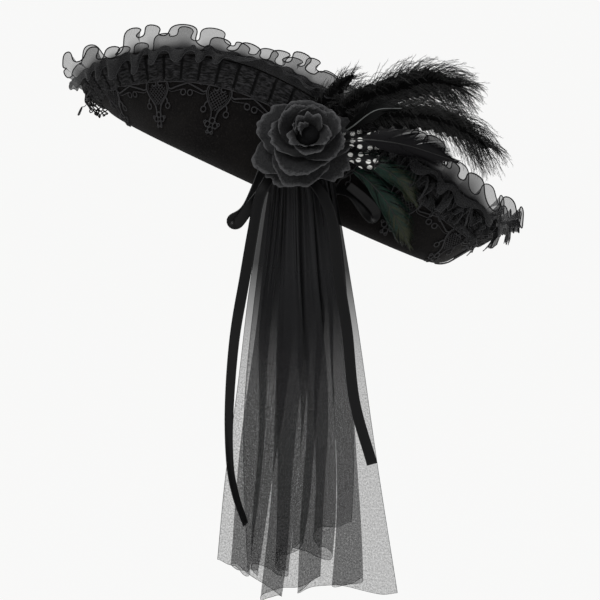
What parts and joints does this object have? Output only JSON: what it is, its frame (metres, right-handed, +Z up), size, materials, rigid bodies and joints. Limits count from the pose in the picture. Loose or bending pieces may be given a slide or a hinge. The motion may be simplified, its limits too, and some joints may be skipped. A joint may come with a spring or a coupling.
{
  "type": "tricorn hat",
  "caption": "Black felt tricorn hat with turned-up brim, ruffled and lace-trimmed edge, a cloth rose with feathers and ribbons on one side, and a hanging tulle veil.",
  "frame": {"origin": "centre of the head opening, in the plane where the crown meets the brim", "axes": "+Z up with the veil hanging along -Z, -Y the way the wearer faces, +X the wearer's left side, which carries the rose; the hat is worn tilted back by 24 degrees about X"},
  "size_m": [0.4583, 0.4594, 0.5461],
  "materials": {
    "felt": "matte wool felt with a fine fuzz",
    "organza": "sheer organza with a soft shine",
    "dark": "opaque gathered organza, semi-matte",
    "trim": "ribbed pleated braid, matte",
    "lace": "corded guipure lace, matte",
    "rose": "matte charcoal cotton cloth",
    "plume": "wispy ostrich barbs, soft",
    "hackle": "flat feather with a satin sheen",
    "goose": "flat feather with a purple sheen",
    "guinea": "grey feather with pale oval spots",
    "coque": "iridescent green feather, glossy",
    "satin": "black satin ribbon, shiny",
    "veil": "translucent tulle net, matte"
  },
  "bodies": {
    "root": {"felt_body": "felt", "organza_ruffle": "organza", "dark_ruffle": "dark", "pleated_trim": "trim", "lace_trim": "lace", "rose_heart": "rose", "rose_petals_outer": "rose", "rose_petals_middle": "rose", "rose_petals_inner": "rose", "plume_back": "plume", "plume_upper": "plume", "plume_lower": "plume", "hackle_feather": "hackle", "goose_feather": "goose", "guinea_feather_upper": "guinea", "guinea_feather_lower": "guinea", "coque_feather_short": "coque", "coque_feather_long": "coque", "ribbon_tail_left": "satin", "ribbon_tail_right": "satin", "ribbon_loop_left": "satin", "ribbon_loop_right": "satin", "veil_inner": "veil", "veil_outer": "veil"}
  },
  "joints": []
}
